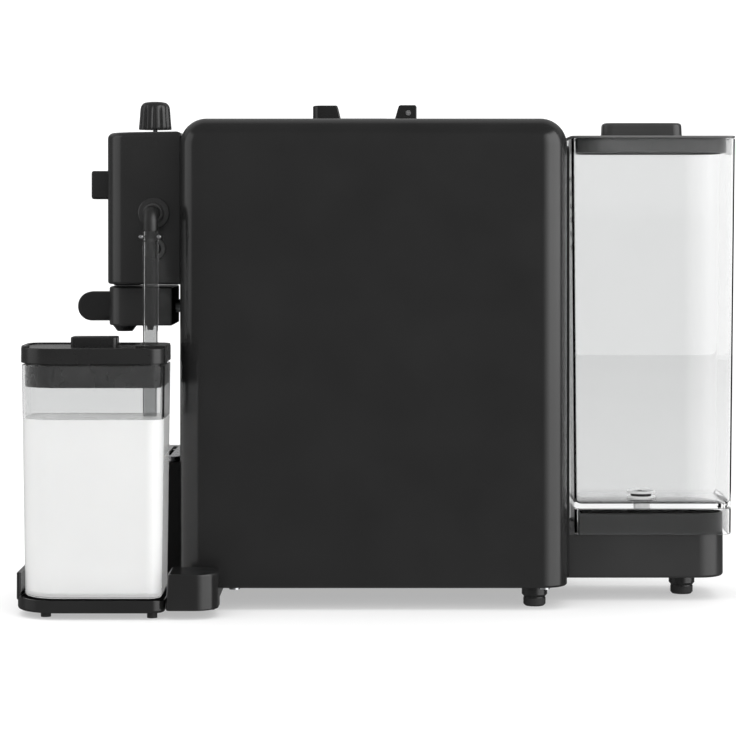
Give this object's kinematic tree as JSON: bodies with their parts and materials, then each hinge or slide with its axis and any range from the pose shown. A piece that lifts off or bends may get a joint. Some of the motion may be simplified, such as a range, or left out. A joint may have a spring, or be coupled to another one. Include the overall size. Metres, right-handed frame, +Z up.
{
  "type": "pod coffee machine",
  "caption": "Narrow box-shaped pod coffee machine: brew head with foam knob over a cup stand, milk jug standing at one side of the head, clear water tank at the rear.",
  "frame": {"origin": "middle of the bounding box's base, on the surface the machine stands on", "axes": "+Z up; +X from the cup side at the front to the water tank at the rear; -Y the side the milk jug stands on"},
  "size_m": [0.4043, 0.162, 0.2868],
  "materials": {
    "body_plastic": "fine satin moulded texture",
    "panel_plastic": "satin",
    "gloss_black": "semi-gloss",
    "tank_plastic": "satin, slightly lighter grey",
    "clear_plastic": "clear, polished",
    "tube_plastic": "clear soft tube",
    "rubber_black": "matt",
    "seal_rubber": "silicone",
    "steel": "brushed",
    "zinc": "plated",
    "heater_metal": "cast",
    "board_green": "solder mask",
    "switch_blue": "moulded",
    "hose_white": "milky silicone",
    "grey_metal": "machined"
  },
  "bodies": {
    "housing": {"housing_shell": "body_plastic", "front_panel": "panel_plastic", "rear_panel": "body_plastic", "base_plate": "panel_plastic", "base_screws": "zinc", "body_feet": "body_plastic", "foot_pads": "rubber_black", "drawer_rails": "panel_plastic", "jug_tray": "body_plastic", "tray_pads": "rubber_black", "tank_base": "tank_plastic", "tank_base_cover": "tank_plastic", "tank_socket": "tank_plastic", "socket_seal": "seal_rubber", "head_casing": "body_plastic", "upper_port": "panel_plastic", "lower_port": "panel_plastic", "foam_valve_body": "grey_metal", "button_switch": "switch_blue", "coffee_spigot": "grey_metal", "hatch_bracket": "body_plastic", "hatch_pin": "steel", "pod_chute": "panel_plastic", "brew_frame": "grey_metal", "brew_cage": "grey_metal", "pump": "heater_metal", "pump_mounts": "rubber_black", "thermoblock": "heater_metal", "flow_meter": "hose_white", "control_board": "board_green", "inlet_hose": "hose_white", "pressure_hose": "hose_white", "coffee_hose": "hose_white", "steam_hose": "hose_white", "cord_gland": "rubber_black"},
    "hatch": {"pod_hatch": "body_plastic"},
    "piston": {"brew_piston": "grey_metal", "piston_seal": "seal_rubber"},
    "knob": {"foam_knob": "body_plastic", "foam_stem": "grey_metal"},
    "button": {"front_button": "body_plastic", "button_spring": "steel"},
    "outlet": {"outlet_body": "body_plastic", "outlet_handle": "gloss_black", "foam_nozzle": "gloss_black", "coffee_nozzle": "gloss_black"},
    "jug": {"milk_jug": "clear_plastic", "milk_elbow": "body_plastic", "milk_tube": "tube_plastic", "tube_clip": "steel"},
    "jug_cover": {"jug_lid": "body_plastic", "jug_lid_grip": "body_plastic", "jug_lid_seal": "rubber_black"},
    "drawer": {"pod_container": "gloss_black"},
    "grille": {"cup_grille": "steel"},
    "tank": {"water_tank": "clear_plastic", "tank_valve": "hose_white", "tank_strainer": "hose_white"},
    "tank_cover": {"tank_lid": "tank_plastic", "tank_lid_handle": "tank_plastic"}
  },
  "joints": [
    {"name": "hatch_hinge", "type": "hinge", "parent": "housing", "child": "hatch", "pos_m": [0.014, 0.016, 0.2795], "axis": [0, 1, 0], "range_deg": [0, 80]},
    {"name": "piston_slide", "type": "slide", "parent": "housing", "child": "piston", "axis": [1, 0, 0], "range_m": [0, 0.024]},
    {"name": "foam_knob_turn", "type": "hinge", "parent": "housing", "child": "knob", "pos_m": [-0.1336, 0.016, 0.27], "axis": [0, 0, 1], "range_deg": [0, 270]},
    {"name": "button_press", "type": "slide", "parent": "housing", "child": "button", "axis": [1, 0, 0], "range_m": [0, 0.0025], "stiffness_N_per_m": 400},
    {"name": "outlet_pull", "type": "slide", "parent": "housing", "child": "outlet", "axis": [-1, 0, 0], "range_m": [0, 0.04]},
    {"name": "jug_slide", "type": "slide", "parent": "housing", "child": "jug", "axis": [0, -1, 0], "range_m": [0, 0.12]},
    {"name": "jug_cover_lift", "type": "slide", "parent": "jug", "child": "jug_cover", "axis": [0, 0, 1], "range_m": [0, 0.03]},
    {"name": "drawer_slide", "type": "slide", "parent": "housing", "child": "drawer", "axis": [-1, 0, 0], "range_m": [0, 0.12]},
    {"name": "grille_lift", "type": "slide", "parent": "drawer", "child": "grille", "axis": [0, 0, 1], "range_m": [0, 0.03]},
    {"name": "tank_lift", "type": "slide", "parent": "housing", "child": "tank", "axis": [0, 0, 1], "range_m": [0, 0.06]},
    {"name": "tank_cover_lift", "type": "slide", "parent": "tank", "child": "tank_cover", "axis": [0, 0, 1], "range_m": [0, 0.03]}
  ],
  "couplings": [
    {"joint": "piston_slide", "follows": "hatch_hinge", "m_per_rad": 0.01715}
  ]
}
